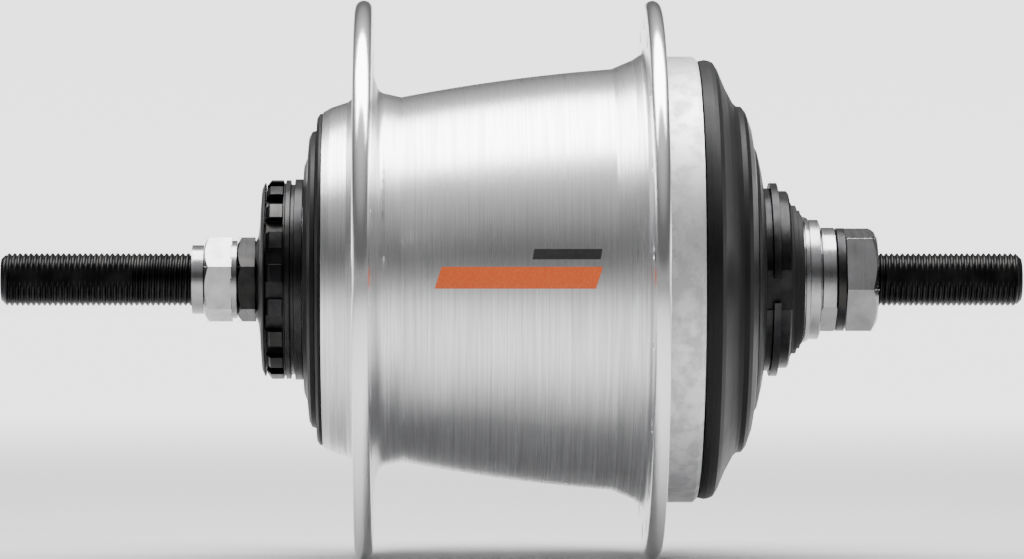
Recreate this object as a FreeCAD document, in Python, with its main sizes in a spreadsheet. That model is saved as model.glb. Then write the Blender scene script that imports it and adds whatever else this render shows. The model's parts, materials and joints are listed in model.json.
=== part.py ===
import FreeCAD, Part
import os
import re
import Sketcher
from FreeCAD import Placement, Rotation, Vector

# Internal-gear bicycle hub. Lengths in millimetres, angles in degrees.
# Stations ("..._at") run along the axle from its middle, plus toward the sprocket side.
# Every piece is drawn about its own local Z axis, which points toward the sprocket side.

SIZES = [
    # axle
    ("axle_length", 184), ("axle_r", 4.76), ("axle_bevel", 1.0), ("flats_across", 8.5),
    ("flat_turn", 171), ("left_flat_from", 2), ("left_flat_to", 24.0),
    ("right_flat_from", 159.5), ("right_flat_to", 183), ("fit_gap", 0.03), ("run_gap", 0.08),
    ("runout_at", 23.6), ("runout_long", 0.8), ("runout_r", 4.2), ("left_thread_end", 34.3),
    ("pitch_r", 4.55), ("core_from", 58.2), ("core_r", 5.0), ("core_to", 152.0),
    ("right_thread_from", 157.8),
    # nuts, cones and caps on the axle
    ("spacer_at", -57.6), ("spacer_long", 2.1), ("spacer_r", 6.2),
    ("left_nut_at", -55.3), ("left_nut_long", 4.9), ("left_hex_across", 13.5),
    ("left_hex_turn", 103), ("left_nut_neck_r", 7.0), ("left_nut_neck_long", 0.9),
    ("left_cone_at", -49.4), ("left_cone_long", 15.4), ("cone_hex_long", 3.2),
    ("cone_seat_r", 8.55), ("cone_body_r", 9.9), ("cone_shoulder_r", 10.4), ("cone_nose_r", 8.6),
    ("left_cap_at", -46.0), ("left_cap_r", 17.4),
    ("washer_at", -33.8), ("washer_long", 3.3), ("washer_r", 8.4),
    ("right_cone_at", 44.4), ("collar_r", 9.37), ("collar_across", 17), ("collar_flat_turn", 237),
    ("cone_flange_r", 10.8), ("cone_boss_r", 6.7), ("cone_bore_r", 5.75),
    ("slot_from_turn", -63), ("slot_sweep", 141),
    ("right_nut_at", 60.0), ("right_nut_long", 5.7), ("right_hex_across", 17),
    ("right_hex_turn", 131), ("nut_bevel", 0.9), ("nut_mouth_r", 5.05), ("nut_mouth_long", 0.45),
    # selector
    ("sleeve_at", -27.9), ("sleeve_long", 81.1), ("sleeve_r", 5.6), ("tab_long", 6.5),
    ("tab_sweep", 22), ("ring_at", 58.4), ("ring_long", 1.4), ("ring_r", 9.3),
    ("ring_bore_r", 6.9), ("tongue_sweep", 34), ("window_long", 4.8), ("window_turn", -5),
    # pawls
    ("pawl_long", 4.0), ("pawl_slot_long", 4.4), ("pawl_pivot_x", -1.6), ("pawl_pivot_y", 3.4),
    ("pawl_bead_r", 0.8), ("pawl_held_turn", -27), ("slot_floor", 2.35),
    ("pawl_ring_r", 4.5), ("pawl_wire_r", 0.2), ("pawl_groove_long", 0.6),
    ("pawl_ring_turn", 128), ("pawl_ring_sweep", 265),
    ("notch_count", 6), ("notch_r", 6.3),
    # gears
    ("gear_module", 0.65), ("pressure_angle", 25), ("tooth_relief", 0.035),
    ("planet_orbit_r", 18.525), ("planet_count", 3), ("planet_pin_r", 2.0),
    ("sun_a_teeth", 42), ("sun_b4_teeth", 39), ("sun_b3_teeth", 33), ("sun_b2_teeth", 24),
    ("planet_a_sun_teeth", 15), ("planet_a_ring_teeth", 27),
    ("planet_b4_teeth", 18), ("planet_b3_teeth", 24), ("planet_b2_teeth", 33),
    ("ring_a_teeth", 84), ("ring_b_teeth", 81),
    ("sun_b4_at", -27.5), ("sun_b4_long", 5.5), ("sun_b3_at", -21.5), ("sun_b3_long", 6.0),
    ("sun_b2_at", -15), ("sun_b2_long", 5.5), ("sun_a_at", -5.5), ("sun_a_long", 5.5),
    ("planet_a_long", 12.5), ("planet_b_long", 18), ("gear_hub_r", 3.4),
    # carrier
    ("left_plate_at", -30.2), ("left_plate_long", 2.2), ("centre_plate_at", -9),
    ("centre_plate_long", 3), ("right_plate_at", 7.5), ("right_plate_long", 2.5),
    ("carrier_r", 24), ("pins_b_long", 24.2), ("pins_a_long", 19),
    ("dog_count", 6), ("dog_r", 10.2), ("dog_size_r", 1.1), ("dog_long", 1.2),
    # shell
    ("shell_at", -43.4), ("neck_r", 15.6), ("left_face", 9.4), ("left_face_r", 30.2),
    ("shell_bore_r", 30.35), ("race_r", 29.7), ("race_end", 28.2), ("left_wall_in", 12.4),
    ("cup_step_r", 12.2), ("cup_mouth_r", 14.2), ("waist_r", 32.9), ("barrel_r", 38.0),
    ("barrel_bow_r", 330), ("flange_r", 50.35), ("left_flange_at", 16.7),
    ("right_flange_at", 68.6), ("left_flange_long", 3.3), ("right_flange_long", 3.0),
    ("rim_r", 40.25), ("rim_end", 76.5), ("cup_thread_r", 37.2), ("cup_seat", 70.9),
    ("spoke_count", 18), ("spoke_hole_r", 1.45),
    ("left_spoke_circle_r", 46.3), ("right_spoke_circle_r", 45.7),
    ("left_spoke_turn", 4), ("right_spoke_turn", 14),
    # brake fitting and dust rings
    ("brake_at", -44), ("brake_long", 6.4), ("brake_r", 17.93), ("brake_slots", 18),
    ("brake_slot_turn", 186.5), ("brake_slot_wide", 3.0), ("brake_slot_long", 3.0),
    ("brake_slot_floor", 16.4),
    ("dust_ring_at", -37.4), ("dust_ring_r", 26.85), ("seal_ring_at", -35.05),
    ("seal_ring_r", 29.9),
    # right cup, caps, driver
    ("right_cup_at", 27.6), ("right_cup_long", 5.2), ("cup_notches", 4),
    ("right_cap_at", 33.4), ("driver_cap_at", 43.3),
    ("driver_at", 12.5), ("driver_bore_r", 12.0), ("tube_r", 15.0), ("drum_bore_r", 28.4),
    ("drum_r", 29.9), ("driver_hub_r", 17.5), ("cap_seat_r", 20.5), ("seat_r", 16.5),
    ("lip_r", 16.0), ("snap_groove_r", 15.4), ("lug_count", 3), ("lug_wide", 7), ("lug_floor", 15.2),
    ("lug_turn", 67), ("keyway_count", 6), ("keyway_r", 13.3), ("keyway_wide", 3.2),
    ("snap_ring_at", 46.35), ("snap_ring_long", 1.3), ("snap_ring_r", 17.45),
    ("snap_gap_turn", 187), ("snap_gap_wide", 4.2), ("seal_at", 49.4),
    # ring gears, clutches
    ("ring_a_at", 0.5), ("ring_a_long", 25.3), ("ring_a_face", 6.5),
    ("ring_b_at", -27.5), ("ring_b_long", 12), ("ring_b_face", 6.2), ("cam_r", 26.6),
    ("cam_bore_r", 25.3), ("ring_b_r", 29.2), ("roller_count", 12), ("roller_r", 1.5),
    ("roller_long", 4.2), ("roller_at", -26.9), ("roller_orbit_r", 28.13),
    ("cage_at", -27.4), ("cage_long", 5.2), ("cage_in_r", 27.6), ("cage_out_r", 28.8),
    ("slider_at", 12.9), ("slider_long", 7), ("slider_r", 11.7), ("slider_bore_r", 5.7),
    ("tongue_r", 13.0), ("tongue_wide", 2.8),
    ("spring_at", 20.7), ("spring_long", 18.4), ("spring_turns", 6), ("spring_r", 8.3),
    ("spring_wire_r", 0.45),
    # ball bearings
    ("ball_r", 2.38), ("track_gap", 0.05), ("cage_pocket_r", 2.5),
    ("left_balls_at", -38.5), ("left_orbit_r", 11.3), ("left_ball_count", 10),
    ("outer_balls_at", 30.5), ("outer_orbit_r", 31.0), ("outer_ball_count", 24),
    ("inner_balls_at", 46.8), ("inner_orbit_r", 11.4), ("inner_ball_count", 10),
]

# each locked or released sun gear and the turn of its pawl's slot in the axle
PAWLS = (("sun_b4", "0"), ("sun_b3", "90"), ("sun_b2", "180"), ("sun_a", "270"))

NAMES = dict(SIZES)
doc = FreeCAD.newDocument("hub_gear")
nodes = []


def make_sheet():
    """Write every size into the sheet as plain text with its alias."""
    sheet = doc.addObject("Spreadsheet::Sheet", "Sizes")
    for row, (alias, value) in enumerate(SIZES, start=1):
        sheet.set("A%d" % row, alias)
        sheet.set("B%d" % row, str(value))
        sheet.setAlias("B%d" % row, alias)
    doc.recompute()
    return sheet


def link(text):
    """Turn bare size names in an expression into references to the sheet."""
    return re.sub(r"[a-z][a-z0-9_]{3,}", lambda m: ref(m.group()), str(text))


def ref(word):
    return "Sizes." + word if word in NAMES else word


def number(holder, text):
    """Value of a linked expression as a plain number."""
    value = holder.evalExpression(text)
    return float(getattr(value, "Value", value))


def bind(holder, prop, text):
    holder.setExpression(prop, link(text))


def origin_plane(body, role):
    return next(item for item in body.Origin.OriginFeatures if item.Role == role)


def put(piece, label, station, turn="0"):
    """Name a piece, turn it about the axle and carry it to its station."""
    piece.Label = label
    lay_down = Rotation(Vector(1, 0, 0), 90)
    angle = number(piece, link(turn))
    along = number(piece, link(station))
    piece.Placement = Placement(Vector(0, -along, 0), lay_down * Rotation(Vector(0, 0, 1), angle))
    bind(piece, "Placement.Base.y", "-1 * (%s)" % station)
    nodes.append(piece)
    return piece


def new_body(label, station, turn="0"):
    body = doc.addObject("PartDesign::Body", label)
    return put(body, label, station, turn)


def new_sketch(body, role, level="0", turn="0"):
    """Sketch on an origin plane of its own body, lifted and turned if asked."""
    sketch = body.newObject("Sketcher::SketchObject", body.Name + "_sketch")
    sketch.AttachmentSupport = [(origin_plane(body, role), "")]
    sketch.MapMode = "FlatFace"
    angle = number(sketch, link(turn))
    lift = Vector(0, 0, number(sketch, link(level)))
    sketch.AttachmentOffset = Placement(lift, Rotation(Vector(0, 0, 1), angle))
    bind(sketch, "AttachmentOffset.Base.z", level)
    return sketch


def outline(sketch, points):
    """Closed outline. A point is (x, y), or (x, y, radius, side) when an arc leads on from it."""
    linked = [tuple(link(part) for part in point[:2]) for point in points]
    spots = [Vector(number(sketch, x), number(sketch, y), 0) for x, y in linked]
    count = len(points)
    arcs = []
    for index, point in enumerate(points):
        start = spots[index]
        end = spots[(index + 1) % count]
        if len(point) == 2:
            sketch.addGeometry(Part.LineSegment(start, end), False)
            continue
        radius = number(sketch, link(point[2]))
        chord = end - start
        rise = radius - (radius ** 2 - (chord.Length / 2) ** 2) ** 0.5
        across = Vector(chord.y, -chord.x, 0).normalize() * rise * point[3]
        sketch.addGeometry(Part.Arc(start, (start + end) * 0.5 + across, end), False)
        arcs.append(index)
    ends = [arc_ends(sketch, index, spots[index]) for index in range(count)]
    rules = []
    for index in range(count):
        following = (index + 1) % count
        rules.append(Sketcher.Constraint("Coincident", index, ends[index][1],
                                         following, ends[following][0]))
    for index in range(count):
        spot = spots[index]
        rules.append(Sketcher.Constraint("DistanceX", -1, 1, index, ends[index][0], spot.x))
        rules.append(Sketcher.Constraint("DistanceY", -1, 1, index, ends[index][0], spot.y))
    for index in arcs:
        rules.append(Sketcher.Constraint("Radius", index, number(sketch, link(points[index][2]))))
    sketch.addConstraint(rules)
    for index, (x, y) in enumerate(linked):
        sketch.setExpression("Constraints[%d]" % (count + 2 * index), x)
        sketch.setExpression("Constraints[%d]" % (count + 2 * index + 1), y)
    for order, index in enumerate(arcs):
        bind(sketch, "Constraints[%d]" % (3 * count + order), points[index][2])


def arc_ends(sketch, index, start):
    """Which end of an edge is its start: arcs may run backwards."""
    if (sketch.getPoint(index, 1) - start).Length < 1e-6:
        return 1, 2
    return 2, 1


def circle(sketch, x, y, radius):
    spot = Vector(number(sketch, link(x)), number(sketch, link(y)), 0)
    index = sketch.addGeometry(Part.Circle(spot, Vector(0, 0, 1), number(sketch, link(radius))))
    for kind, text in (("DistanceX", x), ("DistanceY", y)):
        value = number(sketch, link(text))
        rule = sketch.addConstraint(Sketcher.Constraint(kind, -1, 1, index, 3, value))
        bind(sketch, "Constraints[%d]" % rule, text)
    size = number(sketch, link(radius))
    rule = sketch.addConstraint(Sketcher.Constraint("Radius", index, size))
    bind(sketch, "Constraints[%d]" % rule, radius)


def revolve(body, points, kind="PartDesign::Revolution"):
    """Turn an outline of (radius, height) points about the local Z axis."""
    sketch = new_sketch(body, "XZ_Plane")
    outline(sketch, points)
    feature = body.newObject(kind, body.Name + "_turned")
    feature.Profile = sketch
    feature.ReferenceAxis = (sketch, ["V_Axis"])
    feature.Angle = 360
    return feature


def tube(body, inner, outer, bottom, top):
    return revolve(body, [(inner, bottom), (outer, bottom), (outer, top), (inner, top)])


def groove(body, points):
    return revolve(body, points, "PartDesign::Groove")


def ball_track(body, orbit, height):
    """Cut a ball track: a ring groove a little wider than the balls."""
    sketch = new_sketch(body, "XZ_Plane")
    circle(sketch, orbit, height, "ball_r + track_gap")
    feature = body.newObject("PartDesign::Groove", body.Name + "_track")
    feature.Profile = sketch
    feature.ReferenceAxis = (sketch, ["V_Axis"])
    feature.Angle = 360
    return feature


def extrude(body, sketch, length, kind):
    feature = body.newObject("PartDesign::" + kind, body.Name + "_" + kind.lower())
    feature.Profile = sketch
    feature.Type = "Length"
    bind(feature, "Length", length)
    feature.Reversed = kind == "Pocket"
    return feature


def shape_cut(body, points, bottom, length, turn="0"):
    """Cut an outline upward from a level."""
    sketch = new_sketch(body, "XY_Plane", bottom, turn)
    outline(sketch, points)
    return extrude(body, sketch, length, "Pocket")


def shape_pad(body, points, bottom, length, turn="0"):
    sketch = new_sketch(body, "XY_Plane", bottom, turn)
    outline(sketch, points)
    return extrude(body, sketch, length, "Pad")


def around(body, features, count):
    """Repeat features evenly about the local Z axis."""
    pattern = body.newObject("PartDesign::PolarPattern", body.Name + "_around")
    pattern.Originals = features
    pattern.Axis = (features[0].Profile[0], ["N_Axis"])
    pattern.Angle = 360
    bind(pattern, "Occurrences", count)
    body.Tip = pattern
    return pattern


def box_points(x_low, x_high, y_low, y_high):
    return [(x_low, y_low), (x_high, y_low), (x_high, y_high), (x_low, y_high)]


def polar(radius, angle):
    """A point given by radius and angle."""
    return ("(%s) * cos((%s) * 1deg)" % (radius, angle), "(%s) * sin((%s) * 1deg)" % (radius, angle))


def trim_flats(body, across, bottom, length, turn, sides):
    """Cut flats onto a round piece."""
    cut = shape_cut(body, box_points("%s / 2" % across, "%s" % across, "-%s" % across, across),
                    bottom, length, turn)
    return around(body, [cut], sides)


def bevel(body, radius, size, level, direction):
    """Bevel the outer edge of a piece at a level; direction +1 is its upper face."""
    return groove(body, [("%s - %s" % (radius, size), level),
                         ("%s + 1" % radius, level),
                         ("%s + 1" % radius, "%s - %d * 0.6 * (%s + 1)" % (level, direction, size))])


def tooth_gap(teeth, inside):
    """Outline of one tooth gap, made from the involute of the tooth count."""
    pitch = "(gear_module * %s / 2)" % teeth
    base = "%s * cos(pressure_angle)" % pitch
    sign = -1 if inside else 1
    steps = (1.25, 0.6, 0, -0.5, -1.0) if inside else (-1.25, -0.6, 0, 0.5, 1.0)
    radii = ["(%s + %g * gear_module)" % (pitch, step) for step in steps]
    turns = [gap_angle(teeth, pitch, base, radius, sign) for radius in radii]
    radii.append("(%s + %d * 0.5)" % (radii[-1], sign))
    turns.append(turns[-1])
    lower = [("%s * cos(%s)" % pair, "0 - %s * sin(%s)" % pair) for pair in zip(radii, turns)]
    upper = [("%s * cos(%s)" % pair, "%s * sin(%s)" % pair) for pair in zip(radii, turns)]
    return lower + upper[::-1]


def gap_angle(teeth, pitch, base, radius, sign):
    lean = "(%s - %s)" % (involute(base, radius), involute(base, pitch))
    share = "(90deg / %s + tooth_relief / %s * 180deg / pi)" % (teeth, pitch)
    return "(%s + %d * %s)" % (share, sign, lean)


def involute(base, radius):
    roll = "acos(min(1; %s / %s))" % (base, radius)
    return "(tan(%s) * 180deg / pi - %s)" % (roll, roll)


def cut_teeth(body, teeth, bottom, length, inside=False, turn="0"):
    sketch = new_sketch(body, "XY_Plane", bottom, turn)
    outline(sketch, tooth_gap(teeth, inside))
    gap = extrude(body, sketch, length, "Pocket")
    return around(body, [gap], teeth)


def tip_r(teeth):
    return "gear_module * (%s / 2 + 1)" % teeth


def make_axle():
    """Axle: thread crest radius at both ends, thread pitch radius under the nuts, plain core."""
    body = new_body("axle", "-axle_length / 2")
    revolve(body, [("0", "0"), ("axle_r - axle_bevel", "0"), ("axle_r", "axle_bevel"),
                   ("axle_r", "runout_at"), ("runout_r", "runout_at"),
                   ("runout_r", "runout_at + runout_long"), ("axle_r", "runout_at + runout_long"),
                   ("axle_r", "left_thread_end"), ("pitch_r", "left_thread_end"),
                   ("pitch_r", "core_from"), ("core_r", "core_from"), ("core_r", "core_to"),
                   ("pitch_r", "core_to"), ("pitch_r", "right_thread_from"),
                   ("axle_r", "right_thread_from"), ("axle_r", "axle_length - axle_bevel"),
                   ("axle_r - axle_bevel", "axle_length"), ("0", "axle_length")])
    for start, end in (("left_flat_from", "left_flat_to"), ("right_flat_from", "right_flat_to")):
        trim_flats(body, "flats_across", start, "%s - %s" % (end, start), "flat_turn", "2")
    for sun, turn in PAWLS:
        middle = "axle_length / 2 + %s_at + %s_long / 2" % (sun, sun)
        shape_cut(body, box_points("-2.6", "3", "slot_floor", "6"),
                  "%s - pawl_slot_long / 2" % middle, "pawl_slot_long", turn)
        groove(body, [("pawl_ring_r - 0.25", "%s - pawl_groove_long / 2" % middle),
                      ("6", "%s - pawl_groove_long / 2" % middle),
                      ("6", "%s + pawl_groove_long / 2" % middle),
                      ("pawl_ring_r - 0.25", "%s + pawl_groove_long / 2" % middle)])


def hex_points(across, turn_step=60):
    return [polar("%s / sqrt(3)" % across, str(turn_step * side)) for side in range(6)]


def make_left_stack():
    body = new_body("left_spacer", "spacer_at")
    revolve(body, [("nut_mouth_r", "0"), ("spacer_r", "0"), ("spacer_r", "spacer_long"),
                   ("pitch_r + fit_gap", "spacer_long"), ("pitch_r + fit_gap", "nut_mouth_long")])
    body = new_body("left_locknut", "left_nut_at", "left_hex_turn")
    shape_pad(body, hex_points("left_hex_across"), "0", "left_nut_long")
    tube(body, "4", "left_nut_neck_r", "left_nut_long - 0.2", "left_nut_long + left_nut_neck_long")
    bore(body, "pitch_r + fit_gap")
    bevel(body, "left_hex_across / 2", "0.2", "0", -1)
    body = new_body("left_cone", "left_cone_at", "left_hex_turn")
    shape_pad(body, hex_points("left_hex_across"), "0", "cone_hex_long")
    revolve(body, [("4", "2"), ("left_hex_across / 2", "cone_hex_long"), ("cone_seat_r", "3.9"),
                   ("cone_seat_r", "4.7"), ("cone_body_r", "4.7"), ("cone_body_r", "8.6"),
                   ("cone_shoulder_r", "9"), ("cone_shoulder_r", "10.6"),
                   ("cone_nose_r", "12"), ("cone_nose_r", "left_cone_long"),
                   ("4", "left_cone_long")])
    bore(body, "pitch_r + fit_gap")
    bevel(body, "left_hex_across / 2", "0.2", "0", -1)
    ball_track(body, "left_orbit_r", "left_balls_at - left_cone_at")
    body = new_body("left_dust_cap", "left_cap_at")
    revolve(body, [("cone_seat_r + fit_gap", "0.4"), ("10.6", "0.65"), ("13.9", "0.85"),
                   ("16.4", "1.05"), ("left_cap_r", "1.5"), ("left_cap_r", "1.7"),
                   ("16.2", "1.6"), ("13.9", "1.45"), ("10.6", "1.25"),
                   ("cone_seat_r + fit_gap", "1.15")])
    body = new_body("thrust_washer", "washer_at")
    tube(body, "core_r + fit_gap", "washer_r", "0", "washer_long")


def bore(body, radius):
    """Drill a through bore on the local Z axis."""
    sketch = new_sketch(body, "XY_Plane")
    circle(sketch, "0", "0", radius)
    feature = body.newObject("PartDesign::Pocket", body.Name + "_bore")
    feature.Profile = sketch
    feature.Type = "ThroughAll"
    feature.Midplane = True
    return feature


def sector(inner, outer, start, sweep, steps=6):
    """Outline of a ring sector, its arcs as short chords."""
    turns = ["(%s) + (%s) * %d / %d" % (start, sweep, step, steps) for step in range(steps + 1)]
    outside = [polar(outer, turn) for turn in turns]
    inside = [polar(inner, turn) for turn in reversed(turns)]
    return outside + inside


def make_right_stack():
    body = new_body("right_cone", "right_cone_at")
    revolve(body, [("4", "0"), ("8.8", "0"), ("8.8", "1.4"), ("10.3", "2.9"), ("10.3", "8.1"),
                   ("11.4", "8.1"), ("11.1", "8.8"), ("cone_flange_r", "9"),
                   ("cone_flange_r", "10.7"), ("cone_flange_r - 0.4", "10.9"),
                   ("8.9", "10.9"), ("8.9", "11.1"), ("collar_r", "11.3"),
                   ("collar_r", "13.6"), ("collar_r - 0.3", "13.9"), ("cone_boss_r", "13.9"),
                   ("cone_boss_r", "15.5"), ("4", "15.5")])
    bore(body, "core_r + fit_gap")
    groove(body, [("4", "-1"), ("cone_bore_r", "-1"), ("cone_bore_r", "9"), ("4", "9")])
    trim_flats(body, "collar_across", "11.1", "2.8", "collar_flat_turn", "2")
    slots = []
    for level, length, reach in (("8.5", "5.5", "cone_bore_r"), ("13.9", "1.7", "8")):
        cut = shape_cut(body, sector("4", reach, "slot_from_turn", "slot_sweep"), level, length)
        slots.append(around(body, [cut], "2"))
    ball_track(body, "inner_orbit_r", "inner_balls_at - right_cone_at")
    body = new_body("right_locknut", "right_nut_at", "right_hex_turn")
    shape_pad(body, hex_points("right_hex_across"), "0", "right_nut_long")
    bore(body, "pitch_r + fit_gap")
    groove(body, [("4", "right_nut_long - nut_mouth_long"),
                  ("pitch_r + fit_gap", "right_nut_long - nut_mouth_long"),
                  ("nut_mouth_r", "right_nut_long"), ("nut_mouth_r", "right_nut_long + 0.5"),
                  ("4", "right_nut_long + 0.5")])
    bevel(body, "right_hex_across / 2 + 0.3", "nut_bevel", "right_nut_long", 1)


def make_selector():
    body = new_body("selector_sleeve", "sleeve_at")
    tube(body, "core_r + run_gap", "sleeve_r", "0", "sleeve_long")
    tab = shape_pad(body, sector("core_r + run_gap", "sleeve_r", "-tab_sweep / 2", "tab_sweep", 4),
                    "sleeve_long - 1", "tab_long + 1")
    around(body, [tab], "2")
    for sun, turn in (PAWLS[0], PAWLS[3]):
        middle = "%s_at + %s_long / 2 - sleeve_at" % (sun, sun)
        shape_cut(body, box_points("-8", "8", "0", "8"), "%s - window_long / 2" % middle,
                  "window_long", "window_turn + %s" % turn)
    body = new_body("selector_ring", "ring_at")
    tube(body, "ring_bore_r", "ring_r", "0", "ring_long")
    start = "-tongue_sweep / 2"
    tongue = shape_pad(body, sector("core_r + run_gap", "ring_bore_r + 0.5", start, "tongue_sweep"),
                       "0", "ring_long")
    around(body, [tongue], "2")
    notch = shape_cut(body, sector("4", "sleeve_r + fit_gap", "-tab_sweep / 2 - 0.4",
                                   "tab_sweep + 0.8", 4), "-0.5", "ring_long + 1")
    around(body, [notch], "2")


def make_pawls():
    """Four rocking pawls: two engage their suns, two are held down under the sleeve."""
    for sun, turn in PAWLS:
        engaged = sun in ("sun_b4", "sun_a")
        body = doc.addObject("PartDesign::Body", sun.replace("sun", "pawl"))
        sketch = new_sketch(body, "XY_Plane")
        outline(sketch, [("3.46", "1.84"), ("3.65", "2.37"), ("1.95", "2.05"), ("-0.4", "0.69"),
                         ("0.16", "-0.78")])
        extrude(body, sketch, "pawl_long", "Pad")
        sketch = new_sketch(body, "XY_Plane")
        circle(sketch, "0", "0", "pawl_bead_r")
        extrude(body, sketch, "pawl_long", "Pad")
        station = "%s_at + %s_long / 2 - pawl_long / 2" % (sun, sun)
        put(body, sun.replace("sun", "pawl"), station, turn if engaged else turn + " + pawl_held_turn")
        pivot = "pawl_pivot_x * cos(%s * 1deg) - pawl_pivot_y * sin(%s * 1deg)" % (turn, turn)
        bind(body, "Placement.Base.x", pivot)
        pivot = "pawl_pivot_x * sin(%s * 1deg) + pawl_pivot_y * cos(%s * 1deg)" % (turn, turn)
        bind(body, "Placement.Base.z", pivot)
    rings = []
    for sun, turn in PAWLS:
        ring = doc.addObject("Part::Torus", sun + "_wire")
        bind(ring, "Radius1", "pawl_ring_r")
        bind(ring, "Radius2", "pawl_wire_r")
        bind(ring, "Angle3", "pawl_ring_sweep")
        angle = number(ring, link("pawl_ring_turn + " + turn))
        ring.Placement = Placement(Vector(0, 0, 0), Rotation(Vector(0, 0, 1), angle))
        bind(ring, "Placement.Base.z", "%s_at + %s_long / 2 - sun_b4_at" % (sun, sun))
        rings.append(ring)
    group("pawl_springs", "sun_b4_at", rings)


def group(label, station, members):
    """Gather separate equal solids into one named piece."""
    piece = doc.addObject("Part::Compound", label)
    piece.Links = members
    return put(piece, label, station)


def make_suns():
    for sun, turn in PAWLS:
        body = new_body(sun + "_gear", sun + "_at")
        tube(body, "sleeve_r + run_gap", tip_r(sun + "_teeth"), "0", sun + "_long")
        notch = shape_cut(body, [polar("notch_r", "68.6"), polar("notch_r", "82"),
                                 polar("5.4", "104"), polar("5.4", "61.8")],
                          "-0.5", sun + "_long + 1", turn)
        around(body, [notch], "notch_count")
        cut_teeth(body, sun + "_teeth", "0", sun + "_long")


def stepped_planet(label, turn, station, length, steps):
    """Planet with several tooth rows cut in one piece: (teeth, start, length, tooth turn)."""
    body = doc.addObject("PartDesign::Body", label)
    points = [("planet_pin_r + run_gap", "0"), ("gear_hub_r", "0")]
    for teeth, start, face, _ in steps:
        points.append(("gear_hub_r", start))
        points.append((tip_r(teeth), start))
        points.append((tip_r(teeth), "%s + %s" % (start, face)))
        points.append(("gear_hub_r", "%s + %s" % (start, face)))
    points.append(("planet_pin_r + run_gap", length))
    revolve(body, tidy_points(body, points))
    for teeth, start, face, tooth_turn in steps:
        cut_teeth(body, teeth, start, face, turn="%s + 180 / %s" % (tooth_turn, teeth))
    put(body, label, station, turn)
    bind(body, "Placement.Base.x", "planet_orbit_r * cos(%s * 1deg)" % turn)
    bind(body, "Placement.Base.z", "planet_orbit_r * sin(%s * 1deg)" % turn)


def tidy_points(body, points):
    """Drop points that repeat the one before them."""
    kept = [points[0]]
    for point in points[1:]:
        before = [number(body, link(text)) for text in kept[-1]]
        here = [number(body, link(text)) for text in point]
        if abs(before[0] - here[0]) + abs(before[1] - here[1]) > 1e-6:
            kept.append(point)
    return kept


def make_planets():
    for index in range(3):
        turn = str(60 + 120 * index)
        stepped_planet("planet_a_%d" % (index + 1), turn, "sun_a_at", "planet_a_long",
                       [("planet_a_sun_teeth", "0", "sun_a_long", "180"),
                        ("planet_a_ring_teeth", "6", "ring_a_face", "0")])
        stepped_planet("planet_b_%d" % (index + 1), str(120 * index), "sun_b4_at", "planet_b_long",
                       [("planet_b4_teeth", "0", "sun_b4_long", "180"),
                        ("planet_b3_teeth", "6", "sun_b3_long", "180"),
                        ("planet_b2_teeth", "12.5", "sun_b2_long", "180")])


def plate(label, station, length, hole_turns, inner):
    body = new_body(label, station)
    tube(body, inner, "carrier_r", "0", length)
    for turn in hole_turns:
        sketch = new_sketch(body, "XY_Plane", "-0.5", turn)
        circle(sketch, "planet_orbit_r", "0", "planet_pin_r + fit_gap")
        hole = extrude(body, sketch, length + " + 1", "Pocket")
        around(body, [hole], "planet_count")
    return body


def make_carrier():
    plate("carrier_left_plate", "left_plate_at", "left_plate_long", ["0"], "core_r + run_gap")
    plate("carrier_centre_plate", "centre_plate_at", "centre_plate_long", ["0", "60"],
          "sleeve_r + run_gap")
    body = plate("carrier_right_plate", "right_plate_at", "right_plate_long", ["60"],
                 "sleeve_r + run_gap")
    sketch = new_sketch(body, "XY_Plane", "right_plate_long - 0.2")
    circle(sketch, "dog_r", "0", "dog_size_r")
    dog = extrude(body, sketch, "dog_long + 0.2", "Pad")
    around(body, [dog], "dog_count")
    for label, station, length, first in (("planet_pins_b", "left_plate_at", "pins_b_long", 0),
                                          ("planet_pins_a", "centre_plate_at", "pins_a_long", 60)):
        pins = []
        for index in range(3):
            turn = first + 120 * index
            pin = doc.addObject("Part::Cylinder", "%s_%d" % (label, index + 1))
            bind(pin, "Radius", "planet_pin_r")
            bind(pin, "Height", length)
            bind(pin, "Placement.Base.x", "planet_orbit_r * cos(%d * 1deg)" % turn)
            bind(pin, "Placement.Base.y", "planet_orbit_r * sin(%d * 1deg)" % turn)
            pins.append(pin)
        group(label, station, pins)


def flange(start, length, root_left, root_right, rim):
    """Points over one spoke flange, with a full-round rim."""
    return [(root_left, "%s - %s / 2" % (start, length)),
            ("%s - %s / 2" % (rim, length), "%s - %s / 2" % (start, length), "%s / 2 + 0.001" % length, 1),
            ("%s - %s / 2" % (rim, length), "%s + %s / 2" % (start, length)),
            (root_right, "%s + %s / 2" % (start, length))]


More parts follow.
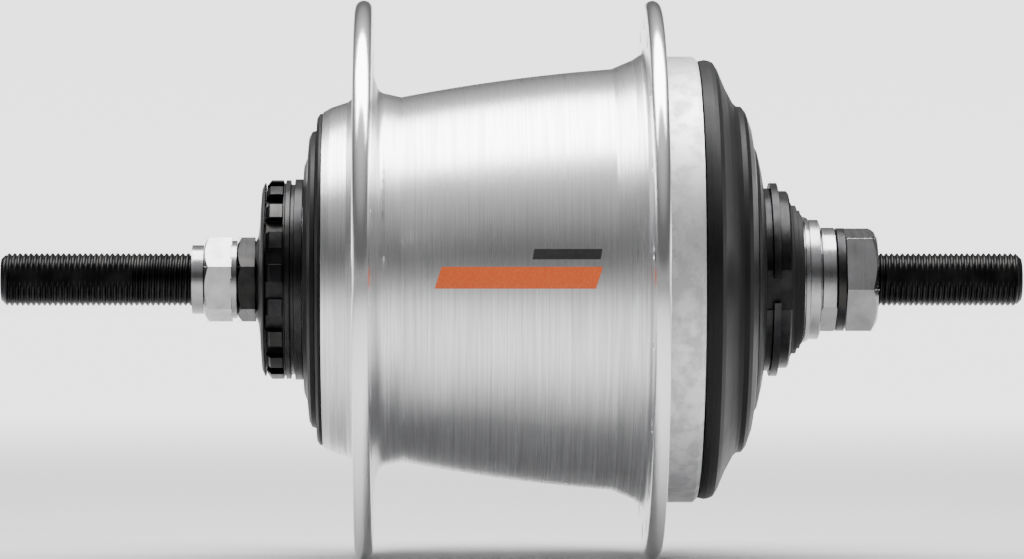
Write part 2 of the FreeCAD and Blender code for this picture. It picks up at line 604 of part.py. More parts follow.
def make_shell():
    body = new_body("hub_shell", "shell_at")
    points = [("cup_mouth_r", "0"), ("neck_r", "0"), ("neck_r", "left_face"),
              ("left_face_r", "left_face"), ("31", "left_face + 1.4"), ("32", "13.8")]
    points += flange("left_flange_at", "left_flange_long", "33", "37", "flange_r")
    points += [("35.2", "19", "1.9", -1), ("33.5", "20.8"), ("waist_r", "23.4", "barrel_bow_r", 1),
               ("barrel_r", "61.3"), ("38.7", "62.9"), ("39.6", "65"), ("40.4", "66.2", "1.3", -1)]
    points += flange("right_flange_at", "right_flange_long", "41.6", "rim_r", "flange_r")
    points += [("rim_r", "rim_end - 0.7"), ("rim_r - 0.65", "rim_end"), ("cup_thread_r", "rim_end"),
               ("cup_thread_r", "cup_seat"), ("shell_bore_r", "cup_seat"),
               ("shell_bore_r", "race_end"), ("race_r", "race_end"), ("race_r", "left_wall_in"),
               ("cup_step_r", "left_wall_in"), ("cup_step_r", "5.6"), ("cup_mouth_r", "4.2")]
    revolve(body, points)
    ball_track(body, "left_orbit_r", "left_balls_at - shell_at")
    for side, turn in (("left", "left_spoke_turn"), ("right", "right_spoke_turn")):
        middle = "%s_flange_at" % side
        sketch = new_sketch(body, "XY_Plane", "%s - 3" % middle, turn)
        circle(sketch, "%s_spoke_circle_r" % side, "0", "spoke_hole_r")
        hole = extrude(body, sketch, "6", "Pocket")
        around(body, [hole], "spoke_count")
    return body


def make_left_rings():
    body = new_body("brake_spline_ring", "brake_at")
    revolve(body, [("neck_r + fit_gap", "0"), ("brake_r - 0.9", "0"), ("brake_r", "0.7"),
                   ("brake_r", "2.9"), ("brake_r - 0.6", "3.05"), ("brake_r - 0.6", "3.25"),
                   ("brake_r", "3.4"), ("brake_r", "4.2"), ("brake_r - 0.8", "4.3"),
                   ("brake_r - 0.8", "4.9"), ("brake_r + 0.17", "5"), ("brake_r + 0.17", "brake_long"),
                   ("neck_r + fit_gap", "brake_long")])
    half = "brake_slot_wide / 2"
    slot = shape_cut(body, box_points("brake_slot_floor", "brake_r + 1", "-" + half, half),
                     "-0.5", "brake_slot_long + 0.5", "brake_slot_turn")
    around(body, [slot], "brake_slots")
    body = new_body("left_dust_ring", "dust_ring_at")
    revolve(body, [("neck_r + fit_gap", "0"), ("20.5", "0"), ("22", "0.55"), ("25.6", "0.9"),
                   ("dust_ring_r - 0.2", "1.4"), ("dust_ring_r", "2.2"),
                   ("neck_r + fit_gap", "2.2")])
    body = new_body("left_seal_ring", "seal_ring_at")
    revolve(body, [("neck_r + fit_gap", "0"), ("seal_ring_r - 0.7", "0"), ("seal_ring_r", "0.5"),
                   ("seal_ring_r", "0.95"), ("neck_r + fit_gap", "0.95")])


def make_right_cup():
    body = new_body("right_ball_cup", "right_cup_at")
    revolve(body, [("31.8", "0"), ("cup_thread_r - fit_gap", "0"),
                   ("cup_thread_r - fit_gap", "right_cup_long"), ("33.9", "right_cup_long"),
                   ("33.9", "3"), ("31.8", "1.7")])
    ball_track(body, "outer_orbit_r", "outer_balls_at - right_cup_at")
    notch = shape_cut(body, box_points("34.6", "38", "-2", "2"), "right_cup_long - 1.4", "2")
    around(body, [notch], "cup_notches")


def make_caps():
    body = new_body("right_dust_cap", "right_cap_at")
    revolve(body, [("39.4", "0"), ("39.65", "1.1"), ("39.5", "1.9"), ("39.2", "2.6"),
                   ("38.1", "3.3"), ("34.8", "4.7"), ("32", "6.2"), ("31.3", "6.9"),
                   ("31.2", "7.8"), ("30.3", "8.5"), ("27.75", "9.4"), ("26", "9.7"),
                   ("cap_seat_r + fit_gap", "9.8"), ("cap_seat_r + fit_gap", "8.7"),
                   ("25.5", "8.7"), ("27.3", "8.2"), ("29.9", "7.4"), ("30.1", "6.2"),
                   ("31", "5.4"), ("34.3", "3.7"), ("37.3", "2.4"), ("38.1", "1.9"),
                   ("38.2", "0")])
    body = new_body("driver_cap", "driver_cap_at")
    revolve(body, [("driver_hub_r - 0.1 + fit_gap", "0"), ("24.4", "0"), ("23.4", "0.6"),
                   ("20.4", "1.3"), ("driver_hub_r + 0.6", "1.7"),
                   ("driver_hub_r - 0.1 + fit_gap", "1.7")])


def make_driver():
    body = new_body("driver", "driver_at")
    revolve(body, [("driver_bore_r", "0"), ("tube_r", "0"), ("tube_r", "9.5"),
                   ("drum_bore_r - 0.1", "9.5"), ("drum_bore_r - 0.1", "17.8"), ("30", "18.4"),
                   ("30", "20.7"), ("26.6", "20.7"), ("26.6", "15"), ("driver_hub_r", "15"),
                   ("driver_hub_r", "29.4"), ("cap_seat_r", "29.6"), ("cap_seat_r", "30.7"),
                   ("driver_hub_r - 0.1", "30.7"), ("driver_hub_r - 0.1", "32.6"),
                   ("seat_r", "32.6"), ("seat_r", "33.75"), ("snap_groove_r", "33.75"),
                   ("snap_groove_r", "35.25"), ("lip_r", "35.25"), ("lip_r", "36.9"),
                   ("lip_r - 0.35", "37.2"), ("cup_mouth_r", "37.2"), ("cup_mouth_r", "34.9"),
                   ("12.3", "33.5"), ("12.3", "30.1"), ("6.3", "30.1"), ("6.3", "27.5"),
                   ("driver_bore_r", "27.5")])
    ball_track(body, "outer_orbit_r", "outer_balls_at - driver_at")
    ball_track(body, "inner_orbit_r", "inner_balls_at - driver_at")
    lug = shape_cut(body, box_points("lug_floor", "18", "-lug_wide / 2", "lug_wide / 2"),
                    "32.6", "6", "lug_turn")
    around(body, [lug], "lug_count")
    keyway = shape_cut(body, box_points("10", "keyway_r", "-keyway_wide / 2", "keyway_wide / 2"),
                       "-0.5", "10")
    around(body, [keyway], "keyway_count")
    body = new_body("sprocket_snap_ring", "snap_ring_at", "snap_gap_turn")
    tube(body, "snap_groove_r + 0.1", "snap_ring_r", "0", "snap_ring_long")
    half = "snap_gap_wide / 2"
    shape_cut(body, box_points("10", "20", "-" + half, half), "-0.5", "snap_ring_long + 1")
    body = new_body("driver_seal", "seal_at")
    revolve(body, [("10.6", "0"), ("cup_mouth_r - fit_gap", "0"), ("cup_mouth_r - fit_gap", "0.3"),
                   ("13.9", "0.8"), ("13.4", "0.9"), ("13.4", "1.7"), ("12.5", "1.8"),
                   ("12.5", "2.4"), ("11.7", "2.5"), ("11.7", "2.8"), ("10.6", "2.8")])


def make_ring_gears():
    body = new_body("ring_gear_a", "ring_a_at")
    revolve(body, [("gear_module * (ring_a_teeth / 2 - 1)", "0"), ("drum_r", "0"),
                   ("drum_r", "ring_a_long"), ("drum_bore_r", "ring_a_long"),
                   ("drum_bore_r", "ring_a_face"),
                   ("gear_module * (ring_a_teeth / 2 - 1)", "ring_a_face")])
    cut_teeth(body, "ring_a_teeth", "0", "ring_a_face", True)
    body = new_body("ring_gear_b", "ring_b_at")
    tooth_start = "ring_b_long - ring_b_face"
    revolve(body, [("cam_bore_r", "0"), ("cam_r", "0"), ("cam_r", "5.6"), ("ring_b_r", "5.6"),
                   ("ring_b_r", "ring_b_long"),
                   ("gear_module * (ring_b_teeth / 2 - 1)", "ring_b_long"),
                   ("gear_module * (ring_b_teeth / 2 - 1)", tooth_start),
                   ("cam_bore_r", tooth_start)])
    cut_teeth(body, "ring_b_teeth", tooth_start, "ring_b_face", True)


def make_clutches():
    rollers = []
    for index in range(NAMES["roller_count"]):
        roller = doc.addObject("Part::Cylinder", "roller_%d" % (index + 1))
        bind(roller, "Radius", "roller_r")
        bind(roller, "Height", "roller_long")
        turn = "360deg * %d / roller_count" % index
        bind(roller, "Placement.Base.x", "roller_orbit_r * cos(%s)" % turn)
        bind(roller, "Placement.Base.y", "roller_orbit_r * sin(%s)" % turn)
        rollers.append(roller)
    group("clutch_rollers", "roller_at", rollers)
    body = new_body("roller_cage", "cage_at")
    tube(body, "cage_in_r", "cage_out_r", "0", "cage_long")
    half = "roller_r + 0.1"
    pocket = shape_cut(body, box_points("26", "30", "0 - (%s)" % half, half), "0.4", "4.4")
    around(body, [pocket], "roller_count")
    body = new_body("clutch_slider", "slider_at")
    tube(body, "slider_bore_r", "slider_r", "0", "slider_long")
    tongue = shape_pad(body, box_points("slider_r - 1", "tongue_r", "-tongue_wide / 2",
                                        "tongue_wide / 2"), "0.5", "5")
    around(body, [tongue], "keyway_count")
    sketch = new_sketch(body, "XY_Plane", "-0.5", "30")
    circle(sketch, "dog_r", "0", "dog_size_r + 0.2")
    socket = extrude(body, sketch, "dog_long + 0.7", "Pocket")
    around(body, [socket], "dog_count")
    body = new_body("clutch_spring", "spring_at")
    sketch = new_sketch(body, "XZ_Plane")
    circle(sketch, "spring_r", "0", "spring_wire_r")
    coil = body.newObject("PartDesign::AdditiveHelix", "clutch_spring_coil")
    coil.Profile = sketch
    coil.ReferenceAxis = (sketch, ["V_Axis"])
    coil.Mode = "height-turns-angle"
    bind(coil, "Height", "spring_long")
    bind(coil, "Turns", "spring_turns")


def make_bearing(side, band):
    """Balls and their cage; band is (inner radius, outer radius, start, length) of the cage."""
    balls = []
    for index in range(NAMES[side + "_ball_count"]):
        ball = doc.addObject("Part::Sphere", "%s_ball_%d" % (side, index + 1))
        bind(ball, "Radius", "ball_r")
        turn = "360deg * %d / %s_ball_count" % (index, side)
        bind(ball, "Placement.Base.x", "%s_orbit_r * cos(%s)" % (side, turn))
        bind(ball, "Placement.Base.y", "%s_orbit_r * sin(%s)" % (side, turn))
        balls.append(ball)
    group(side + "_balls", side + "_balls_at", balls)
    body = new_body(side + "_ball_cage", side + "_balls_at")
    tube(body, band[0], band[1], band[2], "(%s) + %s" % (band[2], band[3]))
    sketch = new_sketch(body, "YZ_Plane")
    circle(sketch, "0", "0", "cage_pocket_r")
    pocket = body.newObject("PartDesign::Pocket", body.Name + "_pocket")
    pocket.Profile = sketch
    pocket.Type = "Length"
    pocket.Length = 60
    pocket.Reversed = True
    pattern = body.newObject("PartDesign::PolarPattern", body.Name + "_around")
    pattern.Originals = [pocket]
    pattern.Axis = (origin_plane(body, "Z_Axis"), [""])
    pattern.Angle = 360
    bind(pattern, "Occurrences", side + "_ball_count")
    body.Tip = pattern


def make_bearings():
    make_bearing("left", ("left_orbit_r - 0.4", "left_orbit_r + 0.3", "-3.3", "5.2"))
    make_bearing("outer", ("outer_orbit_r - 0.35", "outer_orbit_r + 0.35", "-1.2", "4.5"))
    make_bearing("inner", ("inner_orbit_r - 0.4", "inner_orbit_r + 0.4", "-3.3", "5.2"))


def write_parts():
    """Check every piece and write it to its own file."""
    os.makedirs("parts", exist_ok=True)
    for item in doc.Objects:
        if "Invalid" in item.State or "Error" in item.State:
            raise RuntimeError("%s is %s" % (item.Label, item.State))
    for piece in nodes:
        if piece.Shape.isNull() or not piece.Shape.isValid():
            raise RuntimeError("bad shape: " + piece.Label)
        piece.Shape.exportStep("parts/%s.step" % piece.Label)
        box = piece.Shape.BoundBox
        print("%-22s %2d solids %10.2f mm3  y %.2f to %.2f" % (
            piece.Label, len(piece.Shape.Solids), piece.Shape.Volume, box.YMin, box.YMax))


make_sheet()
make_axle()
make_left_stack()
make_right_stack()
make_selector()
make_pawls()
make_suns()
make_planets()
make_carrier()
make_shell()
make_left_rings()
make_right_cup()
make_caps()
make_driver()
make_ring_gears()
make_clutches()
make_bearings()
doc.recompute()
write_parts()
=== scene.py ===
import bpy
import json
import math
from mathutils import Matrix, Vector
from mathutils.bvhtree import BVHTree


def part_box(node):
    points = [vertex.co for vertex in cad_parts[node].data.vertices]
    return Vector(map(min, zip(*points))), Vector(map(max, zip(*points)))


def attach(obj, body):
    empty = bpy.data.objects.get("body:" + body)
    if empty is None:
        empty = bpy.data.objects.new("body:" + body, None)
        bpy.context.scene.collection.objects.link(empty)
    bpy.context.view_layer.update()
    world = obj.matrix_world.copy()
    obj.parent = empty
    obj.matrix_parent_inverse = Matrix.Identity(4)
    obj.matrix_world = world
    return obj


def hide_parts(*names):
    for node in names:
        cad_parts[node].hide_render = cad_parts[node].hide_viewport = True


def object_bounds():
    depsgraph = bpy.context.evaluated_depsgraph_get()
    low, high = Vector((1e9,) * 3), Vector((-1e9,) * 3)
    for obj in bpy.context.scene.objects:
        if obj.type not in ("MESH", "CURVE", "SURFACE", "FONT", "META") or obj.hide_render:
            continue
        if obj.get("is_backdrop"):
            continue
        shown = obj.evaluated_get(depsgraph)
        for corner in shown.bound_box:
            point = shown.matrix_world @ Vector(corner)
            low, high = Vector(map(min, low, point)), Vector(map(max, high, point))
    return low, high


# Looks of an internal-gear bicycle hub. Metres. The axle lies along Y, the sprocket side at -Y.

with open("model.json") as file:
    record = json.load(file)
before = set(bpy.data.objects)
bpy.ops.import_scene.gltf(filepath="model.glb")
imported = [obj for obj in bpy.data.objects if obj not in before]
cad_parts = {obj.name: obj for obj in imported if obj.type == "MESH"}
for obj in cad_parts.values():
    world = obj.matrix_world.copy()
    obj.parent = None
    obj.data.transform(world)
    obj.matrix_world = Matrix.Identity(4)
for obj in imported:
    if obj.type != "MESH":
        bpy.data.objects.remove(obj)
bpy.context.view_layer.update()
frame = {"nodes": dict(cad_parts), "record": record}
NODES = frame["nodes"]

# settings shared by materials; edges are drawn a little rounded
EDGE_ROUND = 0.00015
QUARTER_TURN = 0.25
PLASTIC_SHINE = 0.13

# shell surface zones: radius from the axle and place along it
FLANGE_FROM_R = 0.0418
RIM_TO_R = 0.0408
RIM_FROM_Y = -0.0268
FLANGE_ROUGH = 0.20
SHELL_STRETCH = 0.75

# axle
PITCH = 0.0254 / 26
THREAD_DEPTH = 0.00052
THREAD_SLOPE = 1.25
NUT_PART_DROP = 0.00022
CORE_RISE = 0.00023
CORE_TO_LEFT = 0.0338
CORE_TO_RIGHT = -0.0600
END_BEVEL = 0.001
END_SLOPE = 0.95
FLAT_TURN = math.radians(171)
FLAT_HALF_ACROSS = 0.00425
LEFT_FLAT_FROM = 0.0684
LEFT_FLAT_END_GAP = 0.002
RIGHT_FLAT_FROM = -0.0675
RIGHT_FLAT_END_GAP = 0.001
AROUND_AXLE = 72
CORE_STEP = 0.00025
NUT_OVERLAP = 0.001
LEFT_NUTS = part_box("left_spacer")[1].y
RIGHT_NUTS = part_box("right_locknut")[0].y

# pawl slots in the axle
SLOT_FLOOR = 0.00235
SLOT_FROM_X = -0.0026
SLOT_TO_X = 0.0030
SLOT_END_ROOM = 0.0002
SPRING_GROOVE_R = 0.00425
SPRING_GROOVE_HALF = 0.0003
PAWL_SLOTS = [(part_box(name), math.radians(turn)) for name, turn in
              (("pawl_b4", 0), ("pawl_b3", 90), ("pawl_b2", 180), ("pawl_a", 270))]


class Look:
    """Small helper that wires one procedural node material."""

    def __init__(self, name, color, rough, metallic=1.0):
        self.material = bpy.data.materials.new(name)
        self.material.use_nodes = True
        self.nodes = self.material.node_tree.nodes
        self.wires = self.material.node_tree.links
        self.shader = self.nodes["Principled BSDF"]
        self.shader.inputs["Metallic"].default_value = metallic
        self.shader.inputs["Base Color"].default_value = (*color, 1)
        self.shader.inputs["Roughness"].default_value = rough
        self.place = self.add("ShaderNodeTexCoord").outputs["Object"]

    def add(self, kind, **settings):
        node = self.nodes.new(kind)
        for key, value in settings.items():
            setattr(node, key, value)
        return node

    def feed(self, socket, value):
        if isinstance(value, (int, float, tuple)):
            socket.default_value = value
        else:
            self.wires.new(value, socket)

    def math(self, operation, *values):
        node = self.add("ShaderNodeMath", operation=operation)
        for index, value in enumerate(values):
            self.feed(node.inputs[index], value)
        return node.outputs[0]

    def stretched(self, x, y, z, detail=2.0, roughness=0.5):
        """Noise whose grain is stretched differently along each axis."""
        mapping = self.add("ShaderNodeMapping")
        self.feed(mapping.inputs["Vector"], self.place)
        mapping.inputs["Scale"].default_value = (x, y, z)
        noise = self.add("ShaderNodeTexNoise")
        self.feed(noise.inputs["Vector"], mapping.outputs[0])
        noise.inputs["Scale"].default_value = 1.0
        noise.inputs["Detail"].default_value = detail
        noise.inputs["Roughness"].default_value = roughness
        return noise.outputs["Fac"]

    def spread(self, value, low, high, to_low, to_high):
        node = self.add("ShaderNodeMapRange")
        for index, part in enumerate((value, low, high, to_low, to_high)):
            self.feed(node.inputs[index], part)
        return node.outputs[0]

    def mix(self, factor, first, second):
        node = self.add("ShaderNodeMix", data_type="RGBA")
        self.feed(node.inputs[0], factor)
        self.feed(node.inputs[6], first)
        self.feed(node.inputs[7], second)
        return node.outputs[2]

    def color(self, factor, first, second):
        self.feed(self.shader.inputs["Base Color"], self.mix(factor, (*first, 1), (*second, 1)))

    def rough(self, value):
        self.feed(self.shader.inputs["Roughness"], value)

    def bump(self, height, strength, distance):
        node = self.add("ShaderNodeBump")
        node.inputs["Strength"].default_value = strength
        node.inputs["Distance"].default_value = distance
        self.feed(node.inputs["Height"], height)
        edge = self.add("ShaderNodeBevel", samples=4)
        edge.inputs["Radius"].default_value = EDGE_ROUND
        self.feed(node.inputs["Normal"], edge.outputs[0])
        self.feed(self.shader.inputs["Normal"], node.outputs[0])

    def turned(self, amount):
        """Turning grooves blur reflections along the axle and keep them sharp round it."""
        round_axle = self.add("ShaderNodeTangent", direction_type="RADIAL", axis="Y")
        self.feed(self.shader.inputs["Tangent"], round_axle.outputs[0])
        self.shader.inputs["Anisotropic"].default_value = amount
        self.shader.inputs["Anisotropic Rotation"].default_value = QUARTER_TURN

    def parts(self):
        """Separate coordinates: x, y along the axle and the radius from the axle."""
        split = self.add("ShaderNodeSeparateXYZ")
        self.feed(split.inputs[0], self.place)
        x, y, z = split.outputs
        radius = self.math("SQRT", self.math("ADD", self.math("MULTIPLY", x, x),
                                             self.math("MULTIPLY", z, z)))
        return x, y, radius


def turned_metal(name, color, stained, rough, lines, strength):
    """Metal with fine turning lines round the axle and faint cloudy staining."""
    look = Look(name, color, rough)
    fine = look.stretched(30, lines, 30, 3.0, 0.7)
    cloud = look.stretched(260, 260, 260, 3.0)
    look.color(look.spread(cloud, 0.35, 0.7, 0, 1), color, stained)
    look.rough(look.math("ADD", look.spread(fine, 0.3, 0.7, rough - 0.05, rough + 0.08),
                         look.spread(cloud, 0.4, 0.7, 0, 0.06)))
    look.bump(fine, strength, 0.00002)
    return look.material


def moulded(name, color, clouded, rough, grain):
    """Moulded plastic or rubber: fine grain, slightly uneven gloss."""
    look = Look(name, color, rough, 0.0)
    look.shader.inputs["Specular IOR Level"].default_value = PLASTIC_SHINE
    grit = look.stretched(grain, grain, grain, 4.0, 0.6)
    cloud = look.stretched(90, 90, 90, 2.0)
    look.color(look.spread(cloud, 0.3, 0.75, 0, 1), color, clouded)
    look.rough(look.spread(cloud, 0.3, 0.7, rough - 0.06, rough + 0.08))
    look.bump(grit, 0.25, 0.00004)
    return look.material


def shell_metal():
    """Turned barrel, polished flanges and a mottled rim on one shell."""
    look = Look("shell_aluminium", (0.90, 0.90, 0.91), 0.25)
    y, radius = look.parts()[1:]
    fine = look.stretched(14, 5200, 14, 3.0, 0.75)
    streak = look.stretched(60, 1500, 60, 2.0, 0.6)
    mottle = look.stretched(330, 330, 330, 3.0, 0.6)
    lines = look.math("ADD", look.math("MULTIPLY", fine, 0.65), look.math("MULTIPLY", streak, 0.35))
    on_flange = look.math("GREATER_THAN", radius, FLANGE_FROM_R)
    on_rim = look.math("MULTIPLY", look.math("LESS_THAN", y, RIM_FROM_Y),
                       look.math("LESS_THAN", radius, RIM_TO_R))
    barrel = look.math("SUBTRACT", 1.0, look.math("MAXIMUM", on_flange, on_rim))
    shade = look.math("MULTIPLY", look.spread(lines, 0.36, 0.64, 0, 1), barrel)
    rim_shade = look.math("MULTIPLY", look.spread(mottle, 0.42, 0.6, 0, 0.5), on_rim)
    look.color(look.math("ADD", shade, rim_shade), (0.93, 0.93, 0.94), (0.62, 0.62, 0.63))
    barrel_rough = look.math("MULTIPLY", look.spread(lines, 0.3, 0.7, 0.22, 0.40), barrel)
    flange_rough = look.math("MULTIPLY", on_flange, FLANGE_ROUGH)
    rim_rough = look.math("MULTIPLY", look.spread(mottle, 0.4, 0.6, 0.62, 0.78), on_rim)
    look.rough(look.math("ADD", barrel_rough, look.math("ADD", flange_rough, rim_rough)))
    look.bump(look.math("ADD", look.math("MULTIPLY", lines, barrel),
                        look.math("MULTIPLY", mottle, look.math("MULTIPLY", on_rim, 0.3))),
              0.55, 0.00006)
    look.turned(SHELL_STRETCH)
    return look.material


# name: base colour, colour of the stains, roughness, turning lines per metre, bump strength
METALS = {
    "black_steel": ((0.012, 0.012, 0.013), (0.03, 0.029, 0.028), 0.30, 2500, 0.3),
    "dark_steel": ((0.022, 0.022, 0.024), (0.045, 0.044, 0.042), 0.32, 2500, 0.3),
    "bright_steel": ((0.40, 0.40, 0.41), (0.28, 0.28, 0.285), 0.17, 3000, 0.4),
    "driver_steel": ((0.016, 0.016, 0.017), (0.034, 0.034, 0.034), 0.28, 3000, 0.4),
    "hard_steel": ((0.66, 0.66, 0.69), (0.52, 0.52, 0.54), 0.16, 3500, 0.2),
    "gear_steel": ((0.42, 0.42, 0.44), (0.30, 0.30, 0.31), 0.30, 1800, 0.4),
    "carrier_steel": ((0.34, 0.34, 0.36), (0.24, 0.23, 0.22), 0.42, 900, 0.5),
    "cage_steel": ((0.58, 0.56, 0.52), (0.44, 0.42, 0.39), 0.32, 900, 0.3),
    "spring_steel": ((0.46, 0.46, 0.48), (0.34, 0.33, 0.32), 0.28, 1500, 0.3),
}

# name: base colour, colour of the faint clouds, roughness, grain per metre
PLASTICS = {
    "black_plastic": ((0.008, 0.008, 0.0085), (0.014, 0.014, 0.0145), 0.42, 2600),
    "cage_plastic": ((0.68, 0.64, 0.52), (0.60, 0.56, 0.45), 0.5, 1500),
    "seal_rubber": ((0.014, 0.014, 0.014), (0.026, 0.026, 0.026), 0.55, 2200),
}


def make_materials():
    """One material for each slot of the record."""
    looks = {"shell_aluminium": shell_metal()}
    for name, settings in METALS.items():
        looks[name] = turned_metal(name, *settings)
    for name, settings in PLASTICS.items():
        looks[name] = moulded(name, *settings)
    return looks


def paint(piece, material):
    piece.data.materials.clear()
    piece.data.materials.append(material)


def mesh_piece(name, points, faces, material, body):
    """Smooth-shaded piece that rides on a CAD body."""
    mesh = bpy.data.meshes.new(name)
    mesh.from_pydata(points, [], faces)
    mesh.validate()
    piece = bpy.data.objects.new(name, mesh)
    bpy.context.scene.collection.objects.link(piece)
    paint(piece, material)
    for face in mesh.polygons:
        face.use_smooth = True
    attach(piece, body)
    return piece


def axle_radius(y, turn, top, half):
    """Radius of the threaded axle at a station and an angle, flats included."""
    end = half - abs(y)
    if y > LEFT_NUTS or y < RIGHT_NUTS:
        wave = (y / PITCH - turn / (2 * math.pi)) % 1.0
        ridge = 1 - abs(2 * wave - 1)
        radius = top - THREAD_DEPTH * (1 - min(1.0, ridge * THREAD_SLOPE))
    elif y > CORE_TO_LEFT or y < CORE_TO_RIGHT:
        radius = top - NUT_PART_DROP
    else:
        radius = top + CORE_RISE
    for (low, high), slot_turn in PAWL_SLOTS:
        if low.y - SLOT_END_ROOM < y < high.y + SLOT_END_ROOM:
            radius = min(radius, slot_radius(turn - slot_turn))
        if abs(y - (low.y + high.y) / 2) < SPRING_GROOVE_HALF:
            radius = min(radius, SPRING_GROOVE_R)
    radius = min(radius, top - END_BEVEL + end * END_SLOPE)
    on_left_flat = LEFT_FLAT_FROM < y < half - LEFT_FLAT_END_GAP
    on_right_flat = -(half - RIGHT_FLAT_END_GAP) < y < RIGHT_FLAT_FROM
    if on_left_flat or on_right_flat:
        lean = math.cos(turn - FLAT_TURN)
        if abs(lean) > 0.5:
            radius = min(radius, FLAT_HALF_ACROSS / abs(lean))
    return radius


def slot_radius(turn):
    """Distance from the axle's centre to the floor of a pawl slot, large where there is no slot."""
    if math.sin(turn) < 0.3:
        return 1.0
    floor_at = SLOT_FLOOR / math.sin(turn)
    inside = SLOT_FROM_X < floor_at * math.cos(turn) < SLOT_TO_X
    return floor_at if inside else 1.0


def thread_radius():
    """Crest radius of the axle's thread, as the record's mount states it."""
    mounts = {mount["name"]: mount for mount in frame["record"]["mounts"]}
    return mounts["left_axle_thread"]["dims"]["r_mm"] / 1000


def axle_stations(half):
    """Places along the axle that get a ring of points, eight to each turn of thread."""
    stations = []
    y = -half
    while y < half - 1e-9:
        stations.append(y)
        threaded = y > LEFT_NUTS - NUT_OVERLAP or y < RIGHT_NUTS + NUT_OVERLAP
        y += PITCH / 8 if threaded else CORE_STEP
    return stations + [half]


def threaded_axle(material):
    """The axle with its screw thread cut as a true helix."""
    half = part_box("axle")[1].y
    top = thread_radius()
    stations = axle_stations(half)
    points = []
    for y in stations:
        for step in range(AROUND_AXLE):
            turn = 2 * math.pi * step / AROUND_AXLE
            radius = axle_radius(y, turn, top, half)
            points.append((radius * math.cos(turn), y, radius * math.sin(turn)))
    faces = []
    for row in range(len(stations) - 1):
        base = row * AROUND_AXLE
        above = base + AROUND_AXLE
        for step in range(AROUND_AXLE):
            following = (step + 1) % AROUND_AXLE
            faces.append((base + step, above + step, above + following, base + following))
    faces.append(tuple(range(AROUND_AXLE)))
    last = (len(stations) - 1) * AROUND_AXLE
    faces.append(tuple(reversed(range(last, last + AROUND_AXLE))))
    piece = mesh_piece("threaded_axle", points, faces, material, "axle_group")
    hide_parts("axle")
    return piece


# printed bars: name, range along the axle, range in height, lean
BARS = (
    ("label_bar_upper", (-0.0030, -0.0148), (0.0035, 0.0053), 0.0003),
    ("label_bar_lower", (0.0140, -0.0140), (-0.0016, 0.0022), 0.0012),
)
BAR_COLUMNS = 24
BAR_ROWS = 6
INK_THICK = 0.00003
OUTSIDE_SHELL = -0.06


def label_bar(name, along, height, lean, tree, material):
    """Plain printed bar that lies on the shell, in place of any lettering."""
    points = []
    for row in range(BAR_ROWS + 1):
        z = height[0] + (height[1] - height[0]) * row / BAR_ROWS
        for column in range(BAR_COLUMNS + 1):
            y = along[0] + (along[1] - along[0]) * column / BAR_COLUMNS - lean * row / BAR_ROWS
            hit = tree.ray_cast(Vector((OUTSIDE_SHELL, y, z)), Vector((1, 0, 0)))[0]
            lift = Vector((hit.x, 0, hit.z)).normalized() * INK_THICK
            points.append(hit + lift)
    faces = []
    for row in range(BAR_ROWS):
        for column in range(BAR_COLUMNS):
            first = row * (BAR_COLUMNS + 1) + column
            above = first + BAR_COLUMNS + 1
            faces.append((first, above, above + 1, first + 1))
    return mesh_piece(name, points, faces, material, "hub_shell_group")


def print_ink(name, color, light):
    look = Look(name, color, 0.35, 0.0)
    speck = look.stretched(3000, 3000, 3000, 3.0)
    look.color(look.spread(speck, 0.4, 0.7, 0, 1), color, light)
    look.rough(look.spread(speck, 0.3, 0.7, 0.28, 0.42))
    return look.material


def label(shell):
    """Two plain bars, black above orange, laid on the shell."""
    tree = BVHTree.FromObject(shell, bpy.context.evaluated_depsgraph_get())
    inks = (print_ink("ink_black", (0.02, 0.02, 0.02), (0.035, 0.035, 0.035)),
            print_ink("ink_orange", (0.72, 0.10, 0.02), (0.80, 0.15, 0.03)))
    for bar, ink in zip(BARS, inks):
        label_bar(*bar, tree, ink)


def area_light(name, place, aim, size_x, size_y, power):
    """Rectangular soft light that looks from its place toward its aim."""
    data = bpy.data.lights.new(name, "AREA")
    data.shape = "RECTANGLE"
    data.size = size_x
    data.size_y = size_y
    data.energy = power
    light = bpy.data.objects.new(name, data)
    light.location = place
    light.rotation_mode = "QUATERNION"
    light.rotation_quaternion = (Vector(aim) - Vector(place)).to_track_quat("-Z", "Y")
    bpy.context.scene.collection.objects.link(light)
    return light


# sky brightness against height: 0 is straight down, 0.5 the horizon, 1 straight up
SKY = ((0.0, 0.45), (0.50, 0.45), (0.56, 0.12), (0.68, 0.16), (0.85, 0.55), (1.0, 0.9))
BACKDROP_LIGHT = 2.4
BACKDROP_FADE_Z = (0.09, 0.15)
BACKDROP_FADE_X = (0.0, 0.5)


def map_range(tree, source, low, high, to_low, to_high):
    node = tree.nodes.new("ShaderNodeMapRange")
    tree.links.new(source, node.inputs[0])
    for index, value in enumerate((low, high, to_low, to_high), start=1):
        node.inputs[index].default_value = value
    return node.outputs[0]


def sky_ramp(tree, height):
    ramp = tree.nodes.new("ShaderNodeValToRGB")
    tree.links.new(height, ramp.inputs[0])
    ramp.color_ramp.elements[0].position = SKY[0][0]
    ramp.color_ramp.elements[1].position = SKY[-1][0]
    for position, value in SKY[1:-1]:
        ramp.color_ramp.elements.new(position)
    for element, (position, value) in zip(ramp.color_ramp.elements, SKY):
        element.color = (value, value, value, 1)
    return ramp.outputs[0]


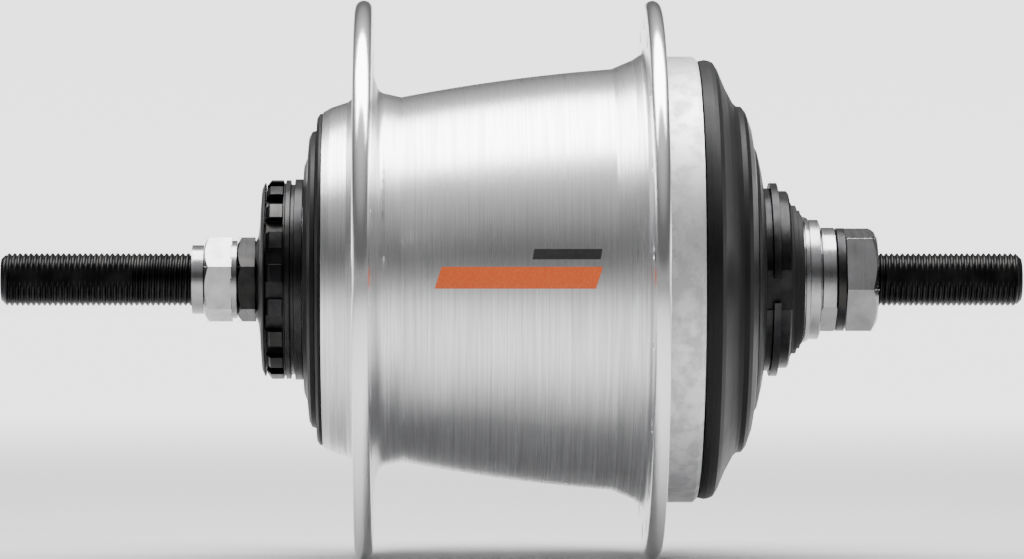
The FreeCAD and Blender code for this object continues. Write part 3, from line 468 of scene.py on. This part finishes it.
def surroundings():
    """Dim studio that brightens overhead, with a bright low backdrop on the +X side."""
    world = bpy.data.worlds.new("studio")
    bpy.context.scene.world = world
    world.use_nodes = True
    tree = world.node_tree
    place = tree.nodes.new("ShaderNodeTexCoord")
    split = tree.nodes.new("ShaderNodeSeparateXYZ")
    tree.links.new(place.outputs["Generated"], split.inputs[0])
    x = split.outputs["X"]
    z = split.outputs["Z"]
    low_sky = map_range(tree, z, *BACKDROP_FADE_Z, BACKDROP_LIGHT, 0.0)
    behind = map_range(tree, x, *BACKDROP_FADE_X, 0.0, 1.0)
    backdrop = tree.nodes.new("ShaderNodeMath")
    backdrop.operation = "MULTIPLY"
    tree.links.new(low_sky, backdrop.inputs[0])
    tree.links.new(behind, backdrop.inputs[1])
    total = tree.nodes.new("ShaderNodeMix")
    total.data_type = "RGBA"
    total.blend_type = "ADD"
    total.inputs[0].default_value = 1.0
    tree.links.new(sky_ramp(tree, map_range(tree, z, -1.0, 1.0, 0.0, 1.0)), total.inputs[6])
    tree.links.new(backdrop.outputs[0], total.inputs[7])
    background = tree.nodes["Background"]
    tree.links.new(total.outputs[2], background.inputs["Color"])
    background.inputs["Strength"].default_value = 1.0


FLOOR_HALF = 6.0
FLOOR_GAP = 0.0002
FLOOR_GLOW = 2.6
FLOOR_GLOW_FROM_X = 0.10
FLOOR_GLOW_TO_X = 1.0


def floor():
    """Pale floor under the model that grows brighter toward the backdrop."""
    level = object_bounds()[0].z - FLOOR_GAP
    mesh = bpy.data.meshes.new("floor")
    corners = [(-1, -1), (1, -1), (1, 1), (-1, 1)]
    mesh.from_pydata([(x * FLOOR_HALF, y * FLOOR_HALF, level) for x, y in corners], [],
                     [(0, 1, 2, 3)])
    piece = bpy.data.objects.new("floor", mesh)
    bpy.context.scene.collection.objects.link(piece)
    look = Look("floor_paper", (0.6, 0.6, 0.6), 0.8, 0.0)
    grain = look.stretched(40, 40, 40, 3.0)
    look.color(grain, (0.59, 0.59, 0.59), (0.61, 0.61, 0.61))
    away = look.parts()[0]
    look.shader.inputs["Emission Color"].default_value = (1, 1, 1, 1)
    glow = look.spread(away, FLOOR_GLOW_FROM_X, FLOOR_GLOW_TO_X, 0.0, FLOOR_GLOW)
    look.feed(look.shader.inputs["Emission Strength"], glow)
    paint(piece, look.material)
    piece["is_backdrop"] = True


KEY_AT = (0.01, 0.0, 0.30)
KEY_AIM = (0.01, 0.0, 0)
KEY_SIZE = (0.24, 0.6)
KEY_POWER = 5.2
CAMERA_AT = (-0.950, 0.0149, 0.0)
CAMERA_REACH = 20
AIM = (0, 0, 0)
SENSOR_WIDTH = 36
LENS = 185


def camera():
    """Long lens that looks almost square on at the side of the axle, aimed at the origin."""
    data = bpy.data.cameras.new("camera")
    data.sensor_width = SENSOR_WIDTH
    data.lens = LENS
    data.clip_end = CAMERA_REACH
    viewer = bpy.data.objects.new("camera", data)
    viewer.location = CAMERA_AT
    viewer.rotation_mode = "QUATERNION"
    viewer.rotation_quaternion = (Vector(AIM) - viewer.location).to_track_quat("-Z", "Y")
    bpy.context.scene.collection.objects.link(viewer)
    bpy.context.scene.camera = viewer


materials = make_materials()
slots = {part["node"]: part["material_slot"] for part in frame["record"]["subparts"]}
for name, node in NODES.items():
    paint(node, materials[slots[name]])
threaded_axle(materials["black_steel"])
label(NODES["hub_shell"])
surroundings()
floor()
area_light("key", KEY_AT, KEY_AIM, *KEY_SIZE, KEY_POWER)
camera()
